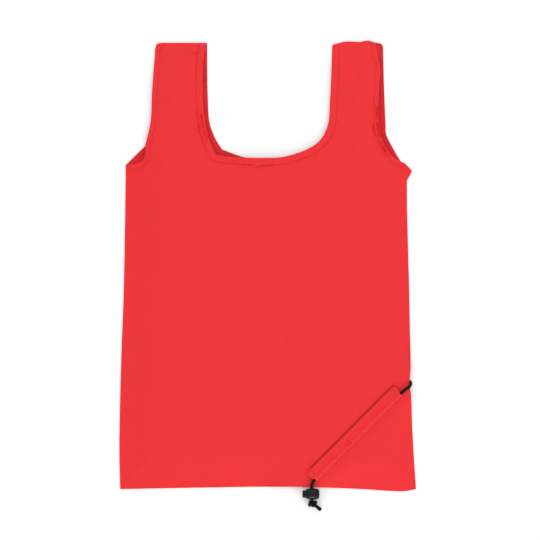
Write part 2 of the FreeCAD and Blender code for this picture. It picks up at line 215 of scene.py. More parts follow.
# Creases pressed into the front layer: two ends, half-width and depth, less than 0 for a raised fold.
CREASES = [
    ((-131, 287), (-140, 272), 1.7, -1.6),
    ((-141, 284), (-146, 274), 1.5, -0.9),
    ((-110, 271), (-88, 275), 1.5, 1.5),
    ((-100, 279), (-96, 284), 1.5, 0.9),
    ((-14, 127), (4, 129), 2.2, 1.7),
    ((-36, 131), (-24, 130), 1.7, 1.0),
    ((-48, 136), (-40, 132), 1.5, 0.9),
    ((22, 134), (34, 136), 1.6, 0.9),
    ((60, 153), (66, 150), 1.4, 1.1),
    ((78, 184), (84, 179), 1.4, 1.2),
    ((80, 194), (86, 190), 1.4, 1.1),
    ((-86.5, 196), (-84.5, 180), 1.3, 2.6),
    ((-84.5, 178), (-79, 163), 1.3, 2.6),
    ((-92, 180), (-86, 165), 2.2, 1.1),
    ((-104, 168), (-84, 158), 3.5, 1.4),
    ((140.5, 206), (141.5, 190), 1.4, 3.0),
    ((141.5, 186), (144.5, 166), 1.4, 3.2),
    ((137, 182), (139, 168), 1.5, 2.0),
    ((146, 160), (152, 148), 1.4, 2.6),
    ((149, 152), (158, 140), 1.3, 1.9),
    ((143, 272), (141, 258), 1.5, 1.1),
    ((92, 176), (108, 150), 5.0, 1.5),
    ((132, 268), (118, 279), 3.0, 1.1),
    ((174, 128), (184, 119), 1.4, -1.3),
    ((150, 130), (136, 150), 4.0, 1.2),
    ((-150, 118), (-136, 140), 5.0, 0.7),
    ((-164, 126), (-158, 134), 1.8, 1.0),
    ((70, -262), (40, -246), 5.0, 0.5),
    ((40, -278), (20, -250), 7.0, 0.6),
]

# Puckers where a casing's edge is sewn, as (along, across) at both ends, half-width and depth.
PUCKERS = [
    ((146, 8.0), (139, 5.4), 0.9, 0.8),
    ((133, 8.1), (129, 4.6), 0.9, 1.0),
    ((124, 7.8), (117, 4.2), 1.0, 1.2),
    ((117, 4.2), (111, 5.2), 0.9, 0.9),
    ((110, 8.1), (106, 5.8), 0.9, 1.0),
    ((99, 8.0), (95, 5.0), 0.9, 1.0),
    ((92, 5.4), (84, 3.0), 1.0, 0.9),
    ((84, 8.1), (78, 5.6), 0.9, 1.1),
    ((74, 8.0), (67, 3.0), 1.0, 1.2),
    ((67, 3.0), (61, 2.2), 0.9, 0.8),
    ((58, 8.1), (53, 6.0), 0.9, 0.9),
    ((46, 8.0), (41, 4.8), 0.9, 1.1),
    ((36, 7.6), (31, 3.6), 1.0, 1.1),
    ((27, 8.1), (22, 5.4), 0.9, 0.9),
    ((18, 5.0), (13, 2.6), 0.9, 0.7),
    ((15, 8.0), (11, 6.0), 0.9, 0.8),
]

# The drawcord's route: out of the knot and the lock, through the front casing, round the side edge,
# back through the back casing, and through the lock into the knot.
FRONT_CORD_Z = 9.0
BACK_CORD_Z = 2.5
CORD_ROUTE = [
    (57.3, -306.6, 8.5),
    (56.85, -302.4, 9.0),
    (56.8, -296.4, 9.15),
    (56.8, -289.0, 9.15),
    (57.4, -283.9, FRONT_CORD_Z),
    (59.6, -278.6, FRONT_CORD_Z),
    (63.6, -274.6, FRONT_CORD_Z),
    (167.4, -170.8, FRONT_CORD_Z),
    (174.5, -163.7, FRONT_CORD_Z),
    (180.2, -159.4, FRONT_CORD_Z),
    (185.2, -156.0, 8.6),
    (185.5, -150.2, 5.0),
    (180.4, -150.2, BACK_CORD_Z),
    (177.0, -157.0, BACK_CORD_Z),
    (174.5, -163.7, BACK_CORD_Z),
    (167.4, -170.8, BACK_CORD_Z),
    (63.6, -274.6, BACK_CORD_Z),
    (59.6, -278.6, BACK_CORD_Z),
    (56.2, -285.4, 2.7),
    (56.8, -289.4, 5.2),
    (56.8, -295.6, 5.25),
    (56.85, -303.0, 5.0),
    (57.2, -306.4, 4.6),
]
LONG_TAIL = [(60.2, -309.6, 4.1), (63.2, -312.2, 2.9), (66.0, -314.6, 2.7), (68.0, -316.2, 2.7)]
SHORT_TAIL = [(57.4, -308.6, 3.6), (55.6, -309.9, 3.1), (54.3, -310.8, 2.9)]
TAIL_SPREAD = 1.1        # the loose ends are frayed
TAIL_SWELL = 0.22        # and melted thicker than the cord at their tips

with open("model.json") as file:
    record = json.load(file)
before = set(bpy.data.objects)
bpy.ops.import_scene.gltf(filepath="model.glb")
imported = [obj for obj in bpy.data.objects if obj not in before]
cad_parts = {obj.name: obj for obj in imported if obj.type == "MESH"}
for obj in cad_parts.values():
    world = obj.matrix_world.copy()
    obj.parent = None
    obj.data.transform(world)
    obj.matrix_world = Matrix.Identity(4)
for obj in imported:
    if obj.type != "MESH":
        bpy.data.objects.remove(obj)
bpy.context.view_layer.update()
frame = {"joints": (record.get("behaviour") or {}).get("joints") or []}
scene = bpy.context.scene


def millimetres(node):
    """A CAD node's lowest and highest corners."""
    low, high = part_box(node)
    return low / MM, high / MM


CASING_LOW, CASING_HIGH = millimetres("cord_casing_front")
CASING_BACK_HIGH = millimetres("cord_casing_back")[1]
CASING_START = (CASING_LOW.x + CASING_WIDTH / 2 * ROOT_HALF, CASING_LOW.y + CASING_WIDTH / 2 * ROOT_HALF)
CASING_LENGTH = (CASING_HIGH.x - CASING_LOW.x - CASING_WIDTH * ROOT_HALF) / ROOT_HALF
BARREL_LOW, BARREL_HIGH = millimetres("lock_barrel")
PLUNGER_LOW, PLUNGER_HIGH = millimetres("lock_plunger")
LOCK_CENTRE = (BARREL_LOW + BARREL_HIGH) / 2
LOCK_RADIUS = (BARREL_HIGH.y - BARREL_LOW.y) / 2
KNOT_LOW, KNOT_HIGH = millimetres("cord_knot")
FOLD = next(joint for joint in frame["joints"] if joint["name"] == "left_handle_fold")
FOLD_Y = FOLD["pos_m"][1] / MM


# ---------------------------------------------------------------- small tools


def smooth(t):
    """Eases from 0 to 1."""
    t = np.clip(t, 0.0, 1.0)
    return t * t * (3 - 2 * t)


def through(points, step=EDGE_STEP):
    """A smooth curve through a few points, as points about step apart."""
    p = np.array(points, float)
    p = np.vstack([2 * p[0] - p[1], p, 2 * p[-1] - p[-2]])
    line = [p[1]]
    for a, b, c, d in zip(p, p[1:], p[2:], p[3:]):
        ab, bc, cd = (math.sqrt(np.linalg.norm(v)) for v in (b - a, c - b, d - c))
        start = ((b - a) / ab - (c - a) / (ab + bc) + (c - b) / bc) * bc
        end = ((c - b) / bc - (d - b) / (bc + cd) + (d - c) / cd) * bc
        count = max(1, math.ceil(np.linalg.norm(c - b) / step))
        for i in range(1, count + 1):
            t = i / count
            line.append(
                b * (2 * t**3 - 3 * t**2 + 1)
                + start * (t**3 - 2 * t**2 + t)
                + c * (3 * t**2 - 2 * t**3)
                + end * (t**3 - t**2)
            )
    return np.array(line)


def joined(*lines):
    """Several lines end to end, without the doubled points."""
    whole = [lines[0]]
    for line in lines[1:]:
        whole.append(line[1:] if np.linalg.norm(line[0] - whole[-1][-1]) < 0.05 else line)
    return np.vstack(whole)


def distance_to(points, line):
    """How far each point is from an open line, in the plane."""
    a, b = line[:-1, :2], line[1:, :2]
    d = b - a
    size = np.maximum((d * d).sum(1), 1e-9)
    best = np.full(len(points), 1e9)
    for i in range(0, len(points), 4000):
        p = points[i : i + 4000, None, :2]
        t = np.clip(((p - a) * d).sum(2) / size, 0, 1)
        best[i : i + 4000] = np.linalg.norm(p - a - t[..., None] * d, axis=2).min(1)
    return best


def mottle(points, size, seed):
    """Smooth noise from -1 to 1 at each point, with lumps of about that size."""
    return np.array([noise.noise(Vector((p[0] / size, p[1] / size, seed))) for p in points])


def rightward(line):
    """Unit vectors to the right of the way along a line, in the plane."""
    d = np.gradient(line[:, :2], axis=0)
    n = np.stack([d[:, 1], -d[:, 0]], axis=1)
    return n / np.maximum(np.linalg.norm(n, axis=1), 1e-9)[:, None]


def spread(line, count):
    """A line again, with so many points evenly along it."""
    along = np.concatenate([[0], np.cumsum(np.linalg.norm(np.diff(line, axis=0), axis=1))])
    at = np.linspace(0, along[-1], count)
    return np.stack([np.interp(at, along, line[:, k]) for k in range(line.shape[1])], axis=1)


def evenly(line, step):
    """A line again, with points step apart."""
    length = np.linalg.norm(np.diff(line, axis=0), axis=1).sum()
    return spread(line, max(2, round(length / step) + 1))


def new_object(name, points, faces, material, sharp=42):
    """A mesh object from points in millimetres, smooth but for edges sharper than that angle."""
    mesh = bpy.data.meshes.new(name)
    mesh.from_pydata([tuple(float(c) * MM for c in p) for p in points], [], faces)
    mesh.validate()
    mesh.materials.append(material)
    mesh.shade_smooth()
    mesh.set_sharp_from_angle(angle=math.radians(sharp))
    obj = bpy.data.objects.new(name, mesh)
    scene.collection.objects.link(obj)
    return obj


def loft(rings, closed_ends=True):
    """Faces between rings of equally many points, closed round each ring, and over the ends."""
    count = len(rings[0])
    faces = []
    for i in range(len(rings) - 1):
        for j in range(count):
            k = (j + 1) % count
            faces.append((i * count + j, i * count + k, (i + 1) * count + k, (i + 1) * count + j))
    if closed_ends:
        faces.append(tuple(reversed(range(count))))
        faces.append(tuple(range((len(rings) - 1) * count, len(rings) * count)))
    return np.vstack(rings), faces


def tube_rings(line, radius, sides, relief=None, round_end=False, swell=0.0):
    """Rings of points round a line in space, turned as little as possible from one to the next.

    relief gives the surface's height at an angle and a length along; a round end can be swollen by a share.
    """
    way = np.gradient(line, axis=0)
    way /= np.linalg.norm(way, axis=1)[:, None]
    side = np.cross(way[0], (0.31, 0.17, 0.93))
    side /= np.linalg.norm(side)
    angles = np.arange(sides) * 2 * math.pi / sides
    along = np.concatenate([[0], np.cumsum(np.linalg.norm(np.diff(line, axis=0), axis=1))])
    rings = []
    for point, forward, s in zip(line, way, along):
        side = side - forward * (side @ forward)
        side /= np.linalg.norm(side)
        up = np.cross(forward, side)
        size = np.full(sides, radius)
        if relief:
            size = size + relief(angles, s)
        left = along[-1] - s
        if round_end:
            size = size * (1 + swell * math.exp(-(((left - radius) / radius) ** 2)))
        if round_end and left < radius:
            size = size * math.sqrt(max(0.02, 1 - (1 - left / radius) ** 2))
        rings.append(point + np.outer(np.cos(angles) * size, side) + np.outer(np.sin(angles) * size, up))
    return rings


def braid(angles, s):
    """Relief of a round braid: two sets of strands crossing."""
    turn = 2 * math.pi * s / PLAIT_LENGTH
    over = np.sin(4 * angles + 4 * turn) * np.sin(4 * angles - 4 * turn)
    return PLAIT_RELIEF * over - 0.06


def nurbs_line(name, points):
    """Points down the middle of a smooth NURBS curve with these control points, in millimetres."""
    curve = bpy.data.curves.new(name, "CURVE")
    curve.dimensions = "3D"
    curve.resolution_u = 32
    spline = curve.splines.new("NURBS")
    spline.points.add(len(points) - 1)
    for target, point in zip(spline.points, points):
        target.co = (point[0] * MM, point[1] * MM, point[2] * MM, 1.0)
    spline.order_u = 3
    spline.use_endpoint_u = True
    route = bpy.data.objects.new(name, curve)
    mesh = bpy.data.meshes.new_from_object(route)
    line = np.array([v.co for v in mesh.vertices], float) / MM
    bpy.data.objects.remove(route)
    return line


# ---------------------------------------------------------------- materials


def new_material(name, colour, roughness, **sockets):
    """A material with its node tree and its shader, whose own sockets hold the constants."""
    material = bpy.data.materials.new(name)
    material.use_nodes = True
    shader = material.node_tree.nodes["Principled BSDF"]
    shader.inputs["Base Color"].default_value = (*colour, 1.0)
    shader.inputs["Roughness"].default_value = roughness
    for socket, value in sockets.items():
        shader.inputs[socket.replace("_", " ")].default_value = value
    return material, material.node_tree, shader


def add(tree, kind, **inputs):
    """A node with some of its inputs set."""
    node = tree.nodes.new(kind)
    for socket, value in inputs.items():
        node.inputs[socket.replace("_", " ")].default_value = value
    return node


def mottled_colour(tree, shader, coordinates, light, dark, size):
    """Base colour that wanders between two shades in soft patches, with a finer grain."""
    patches = add(tree, "ShaderNodeTexNoise", Scale=1 / (size * MM), Detail=4.0, Roughness=0.62)
    ramp = tree.nodes.new("ShaderNodeValToRGB")
    ramp.color_ramp.elements[0].position = 0.36
    ramp.color_ramp.elements[0].color = (*dark, 1.0)
    ramp.color_ramp.elements[1].position = 0.64
    ramp.color_ramp.elements[1].color = (*light, 1.0)
    tree.links.new(coordinates, patches.inputs["Vector"])
    tree.links.new(patches.outputs["Fac"], ramp.inputs["Fac"])
    tree.links.new(ramp.outputs["Color"], shader.inputs["Base Color"])
    return patches


def weave_height(tree, coordinates, pitch):
    """Height of a plain weave with threads that far apart, in millimetres."""
    bands = []
    for direction in ("X", "Y"):
        wave = add(tree, "ShaderNodeTexWave", Scale=math.pi / 10 / (pitch * MM), Distortion=0.35, Detail=1.0)
        wave.wave_type = "BANDS"
        wave.bands_direction = direction
        tree.links.new(coordinates, wave.inputs["Vector"])
        bands.append(wave)
    both = tree.nodes.new("ShaderNodeMath")
    both.operation = "MULTIPLY"
    tree.links.new(bands[0].outputs["Fac"], both.inputs[0])
    tree.links.new(bands[1].outputs["Fac"], both.inputs[1])
    return both.outputs["Value"]


def wandering_roughness(tree, shader, patches, low, high):
    """Roughness that goes with the colour's patches."""
    rough = add(tree, "ShaderNodeMapRange", From_Min=0.3, From_Max=0.7, To_Min=low, To_Max=high)
    tree.links.new(patches.outputs["Fac"], rough.inputs["Value"])
    tree.links.new(rough.outputs["Result"], shader.inputs["Roughness"])


def paint_weave_shade(tree, shader, height, low, high):
    """Scales the base colour by a height: painted light and shade of the weave, darker where the threads dive
    and lighter on their crowns.
    """
    shade = add(tree, "ShaderNodeMapRange", To_Min=low, To_Max=high)
    tree.links.new(height, shade.inputs["Value"])
    scaled = tree.nodes.new("ShaderNodeVectorMath")
    scaled.operation = "SCALE"
    tree.links.new(shader.inputs["Base Color"].links[0].from_socket, scaled.inputs["Vector"])
    tree.links.new(shade.outputs["Result"], scaled.inputs["Scale"])
    tree.links.new(scaled.outputs["Vector"], shader.inputs["Base Color"])


def bump(tree, shader, height, depth, strength):
    """Bump of a depth in millimetres."""
    node = add(tree, "ShaderNodeBump", Strength=strength, Distance=depth * MM)
    tree.links.new(height, node.inputs["Height"])
    tree.links.new(node.outputs["Normal"], shader.inputs["Normal"])


def polyester(name, light, dark, roughness=0.72):
    """Thin plain-woven polyester with a faint sheen."""
    material, tree, shader = new_material(
        name,
        light,
        roughness,
        Specular_IOR_Level=0.24,
        Sheen_Weight=0.06,
        Sheen_Roughness=0.45,
    )
    coordinates = tree.nodes.new("ShaderNodeTexCoord").outputs["Object"]
    patches = mottled_colour(tree, shader, coordinates, light, dark, 26)
    wandering_roughness(tree, shader, patches, roughness - 0.06, roughness + 0.08)
    weave = weave_height(tree, coordinates, WEAVE_PITCH)
    # painted shade of the weave: the base colour darkens in its hollows and lightens a little on the crowns
    paint_weave_shade(tree, shader, weave, 0.84, 1.06)
    bump(tree, shader, weave, 0.12, 0.6)
    return material


def thread(name, light, dark, turn=0.5, gloss=0.3, fuzz=0.08):
    """Spun sewing thread or braided cord, with fine plies across it."""
    material, tree, shader = new_material(name, light, 0.62, Specular_IOR_Level=gloss, Sheen_Weight=fuzz)
    coordinates = tree.nodes.new("ShaderNodeTexCoord").outputs["Object"]
    mottled_colour(tree, shader, coordinates, light, dark, 1.6)
    plies = add(tree, "ShaderNodeTexWave", Scale=math.pi / 10 / (turn * MM), Distortion=1.6, Detail=2.0)
    plies.bands_direction = "DIAGONAL"
    tree.links.new(coordinates, plies.inputs["Vector"])
    bump(tree, shader, plies.outputs["Fac"], 0.08, 0.5)
    return material


def moulded(name, light, dark, roughness):
    """Satin moulded plastic with a fine spark-eroded grain and slightly worn patches."""
    material, tree, shader = new_material(name, light, roughness, Specular_IOR_Level=0.22)
    coordinates = tree.nodes.new("ShaderNodeTexCoord").outputs["Object"]
    patches = mottled_colour(tree, shader, coordinates, light, dark, 5)
    wandering_roughness(tree, shader, patches, roughness - 0.07, roughness + 0.1)
    grain = add(tree, "ShaderNodeTexNoise", Scale=1 / (0.3 * MM), Detail=2.0)
    tree.links.new(coordinates, grain.inputs["Vector"])
    bump(tree, shader, grain.outputs["Fac"], 0.05, 0.25)
    return material


def steel(name):
    """Drawn spring wire."""
    material, tree, shader = new_material(name, (0.56, 0.56, 0.57), 0.28, Metallic=1.0)
    coordinates = tree.nodes.new("ShaderNodeTexCoord").outputs["Object"]
    mottled_colour(tree, shader, coordinates, (0.6, 0.6, 0.61), (0.42, 0.42, 0.43), 1.2)
    drawn = add(tree, "ShaderNodeTexNoise", Scale=1 / (0.12 * MM), Detail=1.0)
    tree.links.new(coordinates, drawn.inputs["Vector"])
    bump(tree, shader, drawn.outputs["Fac"], 0.01, 0.3)
    return material


RED = polyester("polyester_red", (0.942, 0.031, 0.037), (0.906, 0.028, 0.034))
# painted shade: a darker copy of the red for the layers' inner faces, standing in for the shade between the
# two layers
RED_PAINTED_SHADE_INSIDE = polyester("polyester_inside_painted_shade", (0.78, 0.018, 0.024), (0.70, 0.014, 0.020))
# painted shadow: the dark red of the strip beside the front casing's free fold
RED_PAINTED_SHADOW = polyester("polyester_painted_shadow", (0.62, 0.014, 0.020), (0.54, 0.012, 0.017))
# painted shade: a darker copy of the red for the bound seams, so that the bag's edges read darker
RED_BINDING_PAINTED_SHADE = polyester("polyester_binding_painted_shade", (0.66, 0.018, 0.023), (0.56, 0.013, 0.017), 0.68)
RED_THREAD = thread("thread_red", (0.42, 0.009, 0.012), (0.30, 0.006, 0.008))
BLACK_CORD = thread("cord_black", (0.005, 0.004, 0.004), (0.002, 0.002, 0.002), 0.7, 0.12, 0.02)
BLACK_BARREL = moulded("plastic_black_barrel", (0.004, 0.004, 0.004), (0.002, 0.002, 0.002), 0.27)
BLACK_PLUNGER = moulded("plastic_black_plunger", (0.005, 0.005, 0.005), (0.003, 0.003, 0.003), 0.38)
SPRING_STEEL = steel("spring_steel")


# ---------------------------------------------------------------- camera and light


def make_camera():
    """Looks straight down from far away, as the photo's camera does."""
    data = bpy.data.cameras.new("camera")
    data.sensor_width = CAMERA_SENSOR
    data.lens = CAMERA_LENS
    data.clip_start = 0.05
    data.clip_end = 50
    camera = bpy.data.objects.new("camera", data)
    camera.location = (CAMERA_X * MM, CAMERA_Y * MM, CAMERA_HEIGHT * MM)
    scene.collection.objects.link(camera)
    scene.camera = camera


def area_light(name, place, size, watts):
    """A soft box aimed at the bag's middle."""
    data = bpy.data.lights.new(name, "AREA")
    data.shape = "RECTANGLE"
    data.size, data.size_y = size
    data.energy = watts
    lamp = bpy.data.objects.new(name, data)
    lamp.location = place
    lamp.rotation_mode = "QUATERNION"
    lamp.rotation_quaternion = (-Vector(place)).to_track_quat("-Z", "Y")
    lamp.visible_camera = False
    scene.collection.objects.link(lamp)


def make_stage():
    """A bright studio round a white floor that glows a little."""
    world = bpy.data.worlds.new("studio")
    world.use_nodes = True
    world.node_tree.nodes["Background"].inputs["Color"].default_value = (1, 1, 1, 1)
    world.node_tree.nodes["Background"].inputs["Strength"].default_value = WORLD_STRENGTH
    scene.world = world
    for light in LIGHTS:
        area_light(*light)
    material, tree, shader = new_material("floor", (0.93, 0.93, 0.93), 0.9, Specular_IOR_Level=0.1)
    coordinates = tree.nodes.new("ShaderNodeTexCoord").outputs["Object"]
    mottled_colour(tree, shader, coordinates, (0.935, 0.935, 0.935), (0.925, 0.925, 0.925), 200)
    corners = [(FLOOR_HALF * x, FLOOR_HALF * y, FLOOR_Z) for x, y in ((-1, -1), (1, -1), (1, 1), (-1, 1))]
    shader.inputs["Emission Color"].default_value = (1, 1, 1, 1)
    shader.inputs["Emission Strength"].default_value = FLOOR_GLOW
    new_object("floor", corners, [(0, 1, 2, 3)], material)
    scene.view_settings.view_transform = "Standard"
    scene.view_settings.look = "None"
    scene.view_settings.exposure = 0.0


# ---------------------------------------------------------------- drawcord, tails and knot


def make_tail(name, points, node):
    """A short loose end of the cord, its tip melted round."""
    line = evenly(nurbs_line(name + "_route", points), 0.3)
    tip = line[-1] + (line[-1] - line[-2]) / np.linalg.norm(line[-1] - line[-2]) * CORD / 2
    line = evenly(np.vstack([line, tip]), 0.25)
    rings = tube_rings(line, CORD / 2 * TAIL_SPREAD, CORD_SIDES, braid, round_end=True, swell=TAIL_SWELL)
    tail = new_object(name, *loft(rings), BLACK_CORD, sharp=80)
    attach(tail, "cord_end")
    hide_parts(node)
    return tail


def make_knot():
    """The overhand knot: a pulled-tight loop of cord that crosses itself three times."""
    centre = np.array((KNOT_LOW + KNOT_HIGH) / 2)
    room = np.array((KNOT_HIGH - KNOT_LOW) / 2) - CORD / 2 + 0.5
    steps = 220
    line = []
    for i in range(steps + 1):
        t = 2 * math.pi * i / steps
        x = (math.sin(t) + 2 * math.sin(2 * t)) / 3
        y = (math.cos(t) - 2 * math.cos(2 * t)) / 3
        line.append(centre + np.array((x, y, -math.sin(3 * t))) * room * (1.0, 1.0, 0.95))
    rings = tube_rings(evenly(np.array(line), 0.28), CORD / 2, CORD_SIDES, braid)
    knot = new_object("overhand_knot", *loft(rings), BLACK_CORD, sharp=80)
    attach(knot, "cord_end")
    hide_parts("cord_knot")
    return knot


def make_cord():
    """The drawcord from the knot through both casings and back, with the knot and tails as its far end."""
    line = evenly(nurbs_line("drawcord_route", CORD_ROUTE), 0.5)
    rings = tube_rings(line, CORD / 2, CORD_SIDES, braid)
    cord = new_object("drawcord_braid", *loft(rings), BLACK_CORD, sharp=80)
    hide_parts("drawcord", "strand_front", "strand_back")
    pieces = [
        make_knot(),
        make_tail("tail_long", LONG_TAIL, "cord_tail_long"),
        make_tail("tail_short", SHORT_TAIL, "cord_tail_short"),
    ]
    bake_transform(cord)


# ---------------------------------------------------------------- cloth


FRONT_HEMS = [
    (joined(through(FRONT_LEFT_ARMHOLE), through(LEFT_OUTER)), HANDLE_HEM),
    (joined(through(FRONT_LEFT_INNER), through(FRONT_NECK)), NECK_HEM),
    (joined(through(FRONT_RIGHT_OUTER), through(RIGHT_HEM_END)), HANDLE_HEM),
]
BACK_HEMS = [
    (joined(through(BACK_LEFT_ARMHOLE), through(LEFT_OUTER)), HANDLE_HEM),
    (joined(through(BACK_LEFT_INNER), through(BACK_NECK)), NECK_HEM),
    (joined(through(BACK_RIGHT_OUTER), through(RIGHT_HEM_END)), HANDLE_HEM),
]
LEFT_SIDE_LINE = through(LEFT_SIDE)
LEFT_TOP_LINE = joined(through(LEFT_TOP_CORNER, 1.2), through(LEFT_TOP))
FRONT_RIGHT_TOP_LINE = through(FRONT_RIGHT_TOP)
BACK_RIGHT_TOP_LINE = joined(through(FRONT_RIGHT_TOP), through(BACK_RIGHT_TOP, 1.2))
RIGHT_SIDE_LINE = joined(
    np.array(RIGHT_TIP, float),
    through(RIGHT_SIDE),
    through(CORD_NOTCH),
    through(RIGHT_SIDE_LOW),
)
BOTTOM_LINE = through(BOTTOM)


def ring_of(hems, right_top):
    """A layer's whole edge, going up the left side and down the right."""
    left, neck, right = (line for line, _ in hems)
    edge = joined(LEFT_SIDE_LINE, left, LEFT_TOP_LINE, neck, right_top, right, RIGHT_SIDE_LINE, BOTTOM_LINE)
    return edge[:-1]


SEWN_LINES = [LEFT_SIDE_LINE, BOTTOM_LINE, RIGHT_SIDE_LINE, LEFT_TOP_LINE, FRONT_RIGHT_TOP_LINE]
LAYERS = {
    "front": {"hems": FRONT_HEMS, "top": FRONT_RIGHT_TOP_LINE, "seed": 3.7},
    "back": {"hems": BACK_HEMS, "top": BACK_RIGHT_TOP_LINE, "seed": 9.1},
}


def casing_distance(points):
    """How far each point is across from the casing's middle line."""
    return ((points[:, 0] - CASING_START[0]) - (points[:, 1] - CASING_START[1])) * ROOT_HALF


def ridge(points):
    """How far the cloth is raised where it lies over the back casing."""
    past_crest = np.abs(casing_distance(points)) - CREST_HALF
    return CASING_RISE * (1 - smooth(past_crest / (RAMP_HALF - CREST_HALF)))


def hem_relief(points, hems):
    """The doubled cloth of the hems, with a groove where they are stitched and puckers along it."""
    rise = np.zeros(len(points))
    for line, width in hems:
        d = distance_to(points, line)
        near = d < width + HEM_REACH
        if not near.any():
            continue
        edge_gap = d[near]
        stitch_gap = edge_gap - width + STITCH_INSET
        band = HEM_RISE * (1 - smooth(edge_gap - width + 0.5))
        groove = GROOVE_DEPTH * np.exp(-((stitch_gap / GROOVE_HALF) ** 2))
        pucker = PUCKER_HEIGHT * mottle(points[near], PUCKER_SIZE, 5.5)
        pucker *= np.exp(-((stitch_gap / PUCKER_REACH) ** 2))
        roll = ROLL_DEPTH * np.exp(-((edge_gap / ROLL_HALF) ** 2))
        rise[near] = np.maximum(rise[near], band) - groove + pucker - roll
    return rise


def creases(points):
    """Depth of the shallow valleys pressed into the cloth, each with a raised shoulder on both sides."""
    depth = np.zeros(len(points))
    for a, b, half, deep in CREASES:
        d = distance_to(points, np.array([a, b], float)) / half
        depth += deep * (np.exp(-(d**2)) - 0.45 * np.exp(-((d - 2.2) ** 2)))
    return depth


def gap_to(points, lines):
    """How far each point is from the nearest of several lines."""
    return np.min([distance_to(points, line) for line in lines], axis=0)


def height(layer, points):
    """Height of the middle of a cloth layer above the surface."""
    points = np.asarray(points, float)
    hems = LAYERS[layer]["hems"]
    raised = ridge(points)
    relief = hem_relief(points, hems)
    if layer == "back":
        return raised + BACK_Z + BACK_LIFT + np.maximum(relief, 0) * BACK_HEM_SHARE
    sewn = gap_to(points, SEWN_LINES)
    free = gap_to(points, [line for line, _ in hems])
    open_share = smooth(sewn / OPEN_RUN)
    droop = HEM_DROOP * (1 - smooth(free / HEM_DROOP_RUN)) * open_share
    seed = LAYERS[layer]["seed"]
    waves = sum(rise * mottle(points, size, seed + shift) for size, rise, shift in WAVES)
    size, rise, shift = EDGE_WAVE
    edge_waves = rise * mottle(points, size, seed + shift) * np.exp(-sewn / EDGE_WAVE_RUN)
    quiet = 1 - raised / CASING_RISE
    lift = (OPEN_Z - SEWN_Z) * open_share
    loose = (waves * open_share + edge_waves * smooth(sewn / EDGE_WAVE_START)) * quiet
    calm = smooth(sewn / CALM_RUN)
    hem_share = CALM_SHARE + (1 - CALM_SHARE) * calm
    level = (lift - droop) * quiet + loose - creases(points) * calm + relief * hem_share
    return SEWN_Z + raised + np.maximum(level, 0)


def normals(layer, points):
    """The cloth's upward directions, from its height nearby."""
    step = NORMAL_STEP
    points = np.asarray(points, float)[:, :2]
    dx = (height(layer, points + (step, 0)) - height(layer, points - (step, 0))) / (2 * step)
    dy = (height(layer, points + (0, step)) - height(layer, points - (0, step))) / (2 * step)
    n = np.stack([-dx, -dy, np.ones(len(points))], axis=1)
    return n / np.linalg.norm(n, axis=1)[:, None]


def crossing(a, b):
    """Where the way from a to b crosses the fold line."""
    t = (FOLD_Y - a[1]) / (b[1] - a[1])
    return np.array([a[0] + t * (b[0] - a[0]), FOLD_Y])


def fold_line(a, b):
    """Points along the fold from a to b, the same for the pieces on both sides of it."""
    low, high = sorted((a[0], b[0]))
    count = round((high - low) / FOLD_STEP)
    xs = [low + (high - low) * i / count for i in range(1, count)]
    if a[0] > b[0]:
        xs.reverse()
    return [np.array([x, FOLD_Y]) for x in xs]


def split_ring(ring):
    """A layer's edge cut at the fold line into the panel's and the two handles' edges."""
    panel, handles, open_loop = [], [], None
    for a, b in zip(ring, np.roll(ring, -1, axis=0)):
        above = a[1] > FOLD_Y
        (open_loop if above else panel).append(a)
        if above != (b[1] > FOLD_Y):
            cut = crossing(a, b)
            if above:
                open_loop.append(cut)
                handles.append(open_loop + fold_line(cut, open_loop[0]))
                panel += fold_line(open_loop[0], cut) + [cut]
            else:
                panel.append(cut)
                open_loop = [cut]
    left, right = sorted(handles, key=lambda loop: loop[0][0])
    return {"panel": panel, "left_handle": left, "right_handle": right}


def hem_rows(hems):
    """Rows of points beside the hems' edges and stitches, and beside the sewn edges."""
    rows = []
    for line, width in hems:
        beside_stitches = [width - STITCH_INSET + d for d in ROWS_BY_STITCHES]
        for offset in ROWS_BY_EDGE + beside_stitches:
            rows.append(line + rightward(line) * offset)
    for line in (LEFT_SIDE_LINE, RIGHT_SIDE_LINE, BOTTOM_LINE, LEFT_TOP_LINE):
        for offset in ROWS_BY_SEAM:
            rows.append(line + rightward(line) * offset)
    return np.vstack(rows)


def even_grid(low, high, hems):
    """Points of a triangular grid between two corners, clear of the hems' rows."""
    xs = np.arange(low[0], high[0], GRID_STEP)
    ys = np.arange(low[1], high[1], GRID_STEP * math.sqrt(0.75))
    grid = np.array([(x + (GRID_STEP / 2 if j % 2 else 0), y) for j, y in enumerate(ys) for x in xs])
    hem_gap = np.min([distance_to(grid, line) - width for line, width in hems], axis=0)
    return grid[hem_gap > ROWS_END]


def thinned(points):
    """The points without those that lie too close to one before them."""
    kept, taken = [], {}
    for p in points:
        cell = (int(p[0] // CELL), int(p[1] // CELL))
        around = [taken.get((cell[0] + i, cell[1] + j)) for i in (-1, 0, 1) for j in (-1, 0, 1)]
        if all(q is None or abs(q[0] - p[0]) + abs(q[1] - p[1]) > TOO_CLOSE for q in around):
            taken[cell] = p
            kept.append(p)
    return kept


